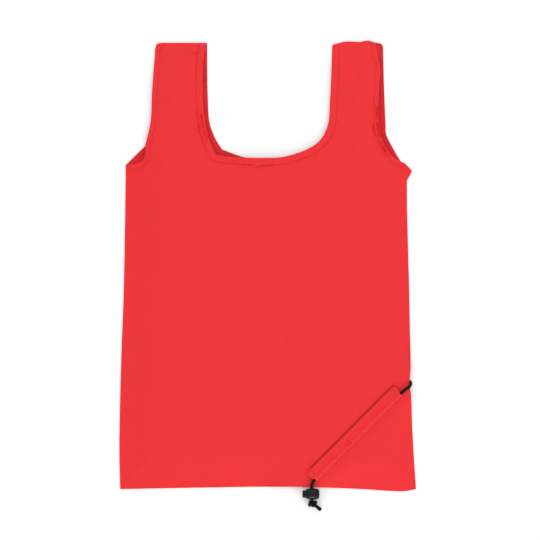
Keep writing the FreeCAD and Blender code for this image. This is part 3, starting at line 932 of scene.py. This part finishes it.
def fill(loop, hems):
    """Triangles over the inside of an edge loop: points and faces."""
    loop = np.array(loop)
    low, high = loop.min(0), loop.max(0)
    inner = np.vstack([hem_rows(hems), even_grid(low, high, hems)])
    inner = inner[((inner > low) & (inner < high)).all(1)]
    inner = inner[distance_to(inner, np.vstack([loop, loop[:1]])) > EDGE_CLEARANCE]
    corners = [Vector(p) for p in loop]
    edges = [(i, (i + 1) % len(loop)) for i in range(len(loop))]
    made = delaunay_2d_cdt(corners + [Vector(p) for p in thinned(inner)], edges, [], 1, 1e-5)
    points = np.array([tuple(v) for v in made[0]])
    used = sorted({i for face in made[2] for i in face})
    index = {old: new for new, old in enumerate(used)}
    return points[used], [tuple(index[i] for i in face) for face in made[2]]


def doubled_area(points, face):
    """Twice a flat triangle's area, less than 0 if it faces down."""
    p, q, r = (points[i] for i in face)
    return (q[0] - p[0]) * (r[1] - p[1]) - (q[1] - p[1]) * (r[0] - p[0])


def upward(points, faces):
    """Faces turned so that each one faces up."""
    return [(a, b, c) if doubled_area(points, (a, b, c)) > 0 else (a, c, b) for a, b, c in faces]


def thick_sheet(name, layer, flat_points, faces):
    """A closed sheet of the cloth's thickness on a layer's surface."""
    faces = upward(flat_points, faces)
    count = len(flat_points)
    middle = np.column_stack([flat_points, height(layer, flat_points)])
    n = normals(layer, flat_points)
    top, under = middle + n * THICKNESS / 2, middle - n * THICKNESS / 2
    seen = {(face[i], face[(i + 1) % 3]) for face in faces for i in range(3)}
    rim = [(b, a, a + count, b + count) for a, b in seen if (b, a) not in seen]
    below = [(a + count, c + count, b + count) for a, b, c in faces]
    sheet = new_object(name, np.vstack([top, under]), faces + below + rim, RED)
    # the inner faces get the darker red, which is painted shade between the layers
    sheet.data.materials.append(RED_PAINTED_SHADE_INSIDE)
    inner = range(len(faces)) if layer == "back" else range(len(faces), 2 * len(faces))
    for i in inner:
        sheet.data.polygons[i].material_index = 1
    return sheet


def place_cloth(obj, zone):
    """Rides a panel piece on the bag; a handle piece only has its placement baked into its mesh."""
    if zone == "panel":
        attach(obj, "bag")
        return
    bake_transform(obj)


def stitch(centre, way, up):
    """A short thread that dives into the cloth at both ends: points and faces."""
    side = np.cross(way, up)
    angles = np.arange(6) * math.pi / 3
    round_it = np.outer(np.cos(angles), side) + np.outer(np.sin(angles), up)
    rings = []
    for along, size, rise in STITCH_SHAPE:
        middle = centre + way * along * STITCH_LENGTH + up * rise * STITCH_RADIUS
        rings.append(middle + STITCH_RADIUS * size * round_it)
    return loft(rings)


def thread_row(name, places):
    """One mesh of stitches, each given by its middle, its way and its up."""
    points, faces, start = [], [], 0
    for place in places:
        p, f = stitch(*place)
        points.append(p)
        faces += [tuple(i + start for i in face) for face in f]
        start += len(p)
    return new_object(name, np.vstack(points), faces, RED_THREAD, sharp=75)


def stitch_places(layer, line):
    """Stitches along a line in the plane, on the outside of a layer."""
    spaced = evenly(line, STITCH_PITCH)
    middles = (spaced[1:] + spaced[:-1]) / 2
    ways = spaced[1:] - spaced[:-1]
    on_cloth = np.column_stack([middles, height(layer, middles)])
    outside = 1.0 if layer == "front" else -1.0
    places = []
    for middle, way, n in zip(on_cloth, ways, normals(layer, middles)):
        direction = np.array([way[0], way[1], 0.0])
        direction -= n * (direction @ n)
        direction /= np.linalg.norm(direction)
        out = n * outside
        places.append((middle + out * (THICKNESS / 2 + STITCH_OUT), direction, out))
    return places


def make_layer(layer):
    """A cloth layer as panel and handle pieces, each with the stitches of its hems."""
    hems = LAYERS[layer]["hems"]
    loops = split_ring(ring_of(hems, LAYERS[layer]["top"]))
    rows = []
    for line, width in hems:
        rows += stitch_places(layer, line + rightward(line) * (width - STITCH_INSET))
    for zone, loop in loops.items():
        points, faces = fill(loop, hems)
        name = f"{layer}_{zone}" if zone == "panel" else f"{zone}_{layer}"
        cloth = thick_sheet(name + "_cloth", layer, points, faces)
        inside = [p for p in rows if zone_of(p[0]) == zone and in_bag(p[0])]
        stitches = thread_row(name + "_stitches", inside)
        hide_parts(name)
        place_cloth(cloth, zone)
        place_cloth(stitches, zone)


def zone_of(point):
    """Which piece of a layer a point is on."""
    if point[1] < FOLD_Y:
        return "panel"
    return "left_handle" if point[0] < 0 else "right_handle"


def in_bag(point):
    """False for a stitch that would fall past the ends of the hems."""
    return FIRST_STITCH_X < point[0] < LAST_STITCH_X and point[1] < TOP_STITCH_Y


# ---------------------------------------------------------------- bound seams


def make_binding(name, line, node, body):
    """The narrow bound edge along a sewn edge, oversewn with thread."""
    line = evenly(line, BEAD_STEP)
    angles = np.arange(BEAD_SIDES) * 2 * math.pi / BEAD_SIDES
    rise = np.sign(np.sin(angles)) * np.abs(np.sin(angles)) ** 0.8 * BEAD_HEIGHT
    rings = []
    for i, (point, n, z) in enumerate(zip(line, rightward(line), ridge(line))):
        wave = 1 + 0.10 * math.sin(2 * math.pi * i * BEAD_STEP / BEAD_WAVE)
        inward = np.array([n[0], n[1], 0.0])
        edge = np.array([point[0], point[1], z + (BACK_Z + SEWN_Z) / 2])
        centre = edge + inward * (BEAD_WIDTH - 0.1)
        across = np.cos(angles) * BEAD_WIDTH * wave
        rings.append(centre + np.outer(across, inward) + np.outer(rise, (0, 0, 1)))
    # the bead's darker red is painted shade along the edge
    binding = new_object(name, *loft(rings), RED_BINDING_PAINTED_SHADE, sharp=70)
    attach(binding, body)
    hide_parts(node)


def make_bindings():
    make_binding("left_side_binding", LEFT_SIDE_LINE, "left_side_seam", "bag")
    make_binding("right_side_binding", RIGHT_SIDE_LINE, "right_side_seam", "bag")
    make_binding("bottom_binding", BOTTOM_LINE, "bottom_seam", "bag")
    make_binding("left_top_binding", LEFT_TOP_LINE, "left_handle_top_seam", "left_handle")
    make_binding("right_top_binding", BACK_RIGHT_TOP_LINE, "right_handle_top_seam", "right_handle")


# ---------------------------------------------------------------- cord casings


def casing_section(s, up):
    """The folded strip's outline at s along it, as (across, height) points: its top, then its underside."""
    half = CASING_WIDTH / 2
    hem = 0.35 * (1 - smooth((min(s, CASING_LENGTH - s) - CASING_HEM) / 1.0))
    drift = noise.noise(Vector((s / 14, 3.1, up))) * 0.7
    crinkle = noise.noise(Vector((s / 3.4, 8.3, up)))
    tuck = abs(noise.noise(Vector((s / 5.2, 4.1, up))))
    gather = 0.7 * noise.noise(Vector((s / 8.0, 5.5, up)))
    flare = SEWN_FLARE * smooth((s - CASING_LENGTH + FLARE_RUN) / FLARE_RUN)
    left = -half - 0.2 + 0.5 * noise.noise(Vector((s / 24, 1.7, up)))
    right = half + 0.3 + flare + 0.4 * crinkle
    top = [                                          # from the free fold, over the cord, to the sewn edge
        (left, 1.9 + 0.3 * drift),
        (left + 0.5, 2.9 + 0.5 * drift),
        (left + 2.6, 3.1 + 0.8 * drift + hem),
        (-3.2, 3.2 + 1.1 * drift + hem),
        (-0.4 + gather, 3.8 + 0.7 * drift + 0.5 * tuck + hem),
        (2.2, 4.5 + 0.6 * tuck + hem * 0.5),
        (4.3, 4.7 + 0.9 * tuck + hem * 0.5),
        (5.9, 4.15 + 0.8 * tuck + 0.4 * crinkle),
        (7.0 + 0.5 * gather, 2.7 + 1.1 * crinkle + 0.6 * tuck),
        (7.8, 1.25 + 0.9 * crinkle),
        (SEAM_ACROSS, 0.5),
        (SEAM_ACROSS + 0.5, 0.85 + 0.2 * crinkle),
        (right, 0.75),
    ]
    if up < 0:
        room = CASING_BACK_HIGH.z - 0.4      # pressed flat by the surface that it lies on
        top = [(across, min(z, room)) for across, z in top]
    under = [
        (right, 0.12),
        (6.0, 0.08),
        (2.0, 0.08),
        (-3.0, 0.1),
        (left + 2.0, 0.25),
        (left + 0.4, 0.8),
    ]
    return top, under


def puckered(top, s, up):
    """The casing's top with points close together, and puckers as deep as the cord under it lets them be."""
    top = spread(np.array(top), TOP_POINTS)
    here = np.column_stack([np.full(len(top), s), top[:, 0]])
    share = np.clip(top[:, 1] / 3, 0, 1)
    for a, b, half, deep in PUCKERS:
        d = distance_to(here, np.array([a, b], float)) / half
        top[:, 1] += deep * share * (0.7 * np.exp(-((d - 2) ** 2)) - np.exp(-(d**2)))
    clear = CORD / 2 + CASING_WALL + CASING_GAP
    over_cord = np.sqrt(np.maximum(clear**2 - (top[:, 0] - CORD_ACROSS) ** 2, 0))
    cord_level = FRONT_CORD_Z - CASING_LOW.z if up > 0 else CASING_BACK_HIGH.z - BACK_CORD_Z
    top[:, 1] = np.where(over_cord > 0, np.maximum(top[:, 1], cord_level + over_cord), top[:, 1])
    if up < 0:
        top[:, 1] = np.minimum(top[:, 1], CASING_BACK_HIGH.z - 0.03)
    return top


def mouth(section, s):
    """How far along each point of the section at s is: the ends are cut back a little over the cord."""
    over_cord = np.exp(-(((section[:, 0] - CORD_ACROSS) / MOUTH_HALF) ** 2))
    over_cord *= smooth((section[:, 1] - 1.0) / 2.0)
    from_start = max(0.0, 1 - s / MOUTH_RUN)
    from_end = max(0.0, 1 - (CASING_LENGTH - s) / MOUTH_RUN)
    return s + MOUTH_CUT * over_cord * (from_start - from_end)


def thinner(section):
    """The section's inner side: the same points, a wall's thickness further in."""
    way = np.roll(section, -1, axis=0) - np.roll(section, 1, axis=0)
    n = np.stack([way[:, 1], -way[:, 0]], axis=1)
    n /= np.linalg.norm(n, axis=1)[:, None]
    facing = np.sign(((section - SECTION_MIDDLE) * n).sum(1))[:, None]
    return section - n * facing * CASING_WALL * np.clip((section[:, 1:] + 0.1) / 1.6, 0.25, 1.0)


def make_painted_shadow_strip():
    """A strip of painted shadow: darker cloth lying past the front strip's free fold and its upper end, where
    the fold's shadow falls.
    """
    rings = []
    low, high = SHADOW_STRIP_Z
    count = round(CASING_LENGTH / SHADOW_STRIP_STEP)
    for s in np.linspace(SHADOW_STRIP_START, CASING_LENGTH + SHADOW_STRIP_PAST, count + 1):
        top, _ = casing_section(min(s, CASING_LENGTH), 1.0)
        left = top[0][0] - SHADOW_STRIP_OUT + 0.25 * noise.noise(Vector((s / 6, 2.2, 0)))
        right = left + SHADOW_STRIP_WIDTH if s < CASING_LENGTH - 2 else CASING_WIDTH / 2 - 6.5
        section = np.array([(left, low), (left, high), (right, high), (right, low)])
        rings.append(placed(section, s, CASING_LOW.z - SHADOW_STRIP_SINK, 1.0))
    painted_shadow_strip = new_object("casing_front_painted_shadow", *loft(rings), RED_PAINTED_SHADOW)
    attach(painted_shadow_strip, "bag")
    return painted_shadow_strip


def make_casing(name, node, base, up):
    """A flat tube of cloth for the cord, open at both ends and sewn along its outer edge."""
    count = round(CASING_LENGTH / CASING_STEP)
    outer, inner = [], []
    for i in range(count + 1):
        s = CASING_LENGTH * i / count
        past = CASING_PAST * max(0.0, 1 - s / CASING_PAST_RUN)
        top, under = casing_section(s, up)
        section = np.vstack([puckered(top, s, up), under])
        at = mouth(section, s) - past * np.clip(0.75 - section[:, 0] / CASING_WIDTH, 0.3, 1.2)
        outer.append(placed(section, at, base, up))
        inner.append(placed(thinner(section), at, base, up))
    size = len(outer[0])
    points, faces = loft(outer + inner, closed_ends=False)
    offset = size * (count + 1)
    outside, inside = faces[: size * count], faces[offset:]
    faces = outside + [tuple(reversed(face)) for face in inside]
    for start, flip in ((0, False), (size * count, True)):
        for j in range(size):
            a, b = start + j, start + (j + 1) % size
            quad = (b, a, a + offset, b + offset)
            faces.append(tuple(reversed(quad)) if flip else quad)
    if up > 0:
        faces = [tuple(reversed(face)) for face in faces]
    casing = new_object(name, points, faces, RED, sharp=55)
    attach(casing, "bag")
    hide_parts(node)
    return casing


def placed(section, s, base, up):
    """Section points (across, height) at s along the casing, in space."""
    x = CASING_START[0] + s * ROOT_HALF + section[:, 0] * ROOT_HALF
    y = CASING_START[1] + s * ROOT_HALF - section[:, 0] * ROOT_HALF
    return np.column_stack([x, y, base + up * section[:, 1]])


def casing_stitches(name, base, up):
    """The row that sews a casing's outer edge down, and a row across each end's hem."""
    along = np.array([ROOT_HALF, ROOT_HALF, 0.0])
    across = np.array([ROOT_HALF, -ROOT_HALF, 0.0])
    rise = np.array([0.0, 0.0, up])
    places = []
    count = round(CASING_LENGTH / STITCH_PITCH)
    for i in range(count):
        s = (i + 0.5) * CASING_LENGTH / count
        top, _ = casing_section(s, up)
        groove = np.array([top[-3]]) + (0, 0.15)
        places.append((placed(groove, s, base, up)[0], along, rise))
    for s in (CASING_HEM - STITCH_INSET, CASING_LENGTH - CASING_HEM + STITCH_INSET):
        top, _ = casing_section(s, up)
        line = evenly(np.array(top[2:9]), STITCH_PITCH * 0.8)
        for a, b in zip(line, line[1:]):
            middle = (a + b)[None] / 2 + (0, 0.1)
            slant = across * (b[0] - a[0]) + rise * (b[1] - a[1])
            places.append((placed(middle, s, base, up)[0], slant / np.linalg.norm(slant), rise))
    stitches = thread_row(name, places)
    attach(stitches, "bag")
    return stitches


def make_casings():
    """Both casings, each with its stitches, and beside the front one a strip of painted shadow."""
    front = make_casing("casing_front_cloth", "cord_casing_front", CASING_LOW.z, 1.0)
    back = make_casing("casing_back_cloth", "cord_casing_back", CASING_BACK_HIGH.z, -1.0)
    front_stitches = casing_stitches("casing_front_stitches", CASING_LOW.z, 1.0)
    back_stitches = casing_stitches("casing_back_stitches", CASING_BACK_HIGH.z, -1.0)
    painted_shadow_strip = make_painted_shadow_strip()


# ---------------------------------------------------------------- cord lock


def lathe(name, profile, material, segments=72):
    """A solid turned about the lock's axis from (x, radius) points that start and end on the axis."""
    angles = np.arange(segments) * 2 * math.pi / segments
    rings = []
    for x, r in profile:
        r = max(r, 0.02)
        y = LOCK_CENTRE.y + r * np.cos(angles)
        z = LOCK_CENTRE.z + r * np.sin(angles)
        rings.append(np.column_stack([np.full(segments, x), y, z]))
    points, faces = loft(rings)
    return new_object(name, points, [tuple(reversed(f)) for f in faces], material, sharp=38)


def slot_outline(x, z, steps=12):
    """A rounded slot's outline as (x, z) points."""
    r = (x[1] - x[0]) / 2
    middle = (x[0] + x[1]) / 2
    turn = np.linspace(0, math.pi, steps)
    upper = [(middle + r * math.cos(t), z[1] - r + r * math.sin(t)) for t in turn]
    lower = [(middle - r * math.cos(t), z[0] + r - r * math.sin(t)) for t in turn]
    return upper + lower


def cut_slot(obj, x, z):
    """Cuts a rounded cross hole through a turned piece."""
    outline = slot_outline(x, z)
    rings = [[(px, LOCK_CENTRE.y + side * 12, pz) for px, pz in outline] for side in (-1, 1)]
    cutter = new_object("cutter", *loft([np.array(r) for r in rings]), obj.data.materials[0])
    modifier = obj.modifiers.new("cut", "BOOLEAN")
    modifier.operation = "DIFFERENCE"
    modifier.solver = "EXACT"
    modifier.object = cutter
    bpy.context.view_layer.update()
    evaluated = obj.evaluated_get(bpy.context.evaluated_depsgraph_get())
    mesh = bpy.data.meshes.new_from_object(evaluated)
    obj.modifiers.clear()
    obj.data = mesh
    mesh.set_sharp_from_angle(angle=math.radians(38))
    bpy.data.objects.remove(cutter)


def barrel_radius(x):
    """The barrel's outer radius: a bean with well-rounded ends."""
    left, right = BARREL_LOW.x, BARREL_HIGH.x
    u = (x - (left + right) / 2) / ((right - left) / 2)
    return LOCK_RADIUS * (1 - WAIST * u * u)


def make_barrel():
    """The barrel: a cup with a bore for the button, a dimple in its closed end, and the cord's cross hole."""
    left, right = BARREL_LOW.x, BARREL_HIGH.x
    lip = barrel_radius(left + MOUTH_FILLET)
    end = barrel_radius(right - END_FILLET)
    profile = [(LOCK_FLOOR, 0), (LOCK_FLOOR, LOCK_BORE - 0.3), (LOCK_FLOOR - 0.3, LOCK_BORE)]
    profile += [(left + 0.3, LOCK_BORE), (left + 0.02, LOCK_BORE + 0.25)]
    for t in np.linspace(0.2, math.pi / 2, 6):
        x = left + MOUTH_FILLET * (1 - math.cos(t))
        profile.append((x, lip - MOUTH_FILLET * 0.6 * (1 - math.sin(t))))
    for x in np.linspace(left + MOUTH_FILLET + 0.4, right - END_FILLET - 0.4, 14):
        profile.append((x, barrel_radius(x)))
    for t in np.linspace(0, math.pi / 2, 9):
        x = right - END_FILLET * (1 - math.sin(t))
        profile.append((x, end - END_FILLET * (1 - math.cos(t))))
    profile += [(right, 2.2), (right - 0.35, 1.9), (right - 0.35, 0)]
    barrel = lathe("lock_body", profile, BLACK_BARREL)
    cut_slot(barrel, LOCK_HOLE, LOCK_HOLE_Z)
    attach(barrel, "cord_lock")
    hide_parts("lock_barrel")


def make_collars():
    """The raised lips round the cord's holes, on both sides of the barrel."""
    x_span = (LOCK_HOLE[0] - 0.5, LOCK_HOLE[1] + 0.5)
    z_span = (LOCK_HOLE_Z[0] - 0.4, LOCK_HOLE_Z[1] + 0.4)
    for name, side in (("lock_collar_bag_side", 1), ("lock_collar_knot_side", -1)):
        outline = slot_outline(x_span, z_span, 14)
        line = []
        for x, z in outline:
            drop = min(abs(z - LOCK_CENTRE.z), barrel_radius(x) - 0.4)
            line.append((x, LOCK_CENTRE.y + side * (math.sqrt(barrel_radius(x) ** 2 - drop**2) - 0.1), z))
        line = np.array(line)
        way = np.roll(line, -1, axis=0) - np.roll(line, 1, axis=0)
        way /= np.linalg.norm(way, axis=1)[:, None]
        rings = []
        for point, forward in zip(line, way):
            out = np.cross(forward, (0, 1, 0))
            out /= np.linalg.norm(out)
            up = np.cross(forward, out)
            turn = np.arange(10) * 2 * math.pi / 10
            rings.append(point + COLLAR_WIRE * (np.outer(np.cos(turn), out) + np.outer(np.sin(turn), up)))
        points, faces = loft(rings + [rings[0]], closed_ends=False)
        count = len(rings) * 10
        faces = [tuple(i % count for i in f) for f in faces]
        collar = new_object(name, points[:count], faces, BLACK_BARREL)
        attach(collar, "cord_lock")


def make_plunger():
    """The button: a domed cap with grip grooves, a stem with the cross hole, and the spring's pocket."""
    left, right = PLUNGER_LOW.x, PLUNGER_HIGH.x
    radius = (PLUNGER_HIGH.y - PLUNGER_LOW.y) / 2
    profile = [(left + 0.25, 0), (left + 0.2, 1.6), (left + 0.05, 2.4)]
    for t in np.linspace(0.1, math.pi / 2, 7):
        x = left + BUTTON_FILLET * (1 - math.cos(t))
        profile.append((x, radius - BUTTON_FILLET * (1 - math.sin(t))))
    for groove in GRIP_GROOVES:
        for dx, depth in ((-0.3, 0), (0, 0.35), (0.3, 0)):
            profile.append((left + groove + dx, radius - depth))
    profile += [(right, radius), (right, 3.9), (SPRING_SEAT, 3.9), (SPRING_SEAT, 0)]
    plunger = lathe("lock_button", profile, BLACK_PLUNGER)
    cut_slot(plunger, PLUNGER_HOLE, PLUNGER_HOLE_Z)
    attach(plunger, "plunger")
    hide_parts("lock_plunger")


def make_spring():
    """The coil spring at full length between the plunger and the barrel's floor, its end turns closer."""
    start, end = SPRING_SEAT + SPRING_WIRE / 2, LOCK_FLOOR - SPRING_WIRE / 2
    t = np.linspace(0, 1, SPRING_TURNS * 36 + 1)
    angle = 2 * math.pi * SPRING_TURNS * t
    share = smooth(t * 0.8 + 0.1)
    share = (share - share[0]) / (share[-1] - share[0])
    x = start + (end - start) * share
    y = LOCK_CENTRE.y + SPRING_RADIUS * np.cos(angle)
    z = LOCK_CENTRE.z + SPRING_RADIUS * np.sin(angle)
    line = np.column_stack([x, y, z])
    rings = tube_rings(line, SPRING_WIRE / 2, 10)
    spring = new_object("lock_coil_spring", *loft(rings), SPRING_STEEL, sharp=80)
    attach(spring, "cord_lock")
    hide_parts("lock_spring")
    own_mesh(spring)


# ---------------------------------------------------------------- the whole scene


make_camera()
make_cord()
make_layer("back")
make_layer("front")
make_bindings()
make_casings()
make_barrel()
make_collars()
make_plunger()
make_spring()
make_stage()
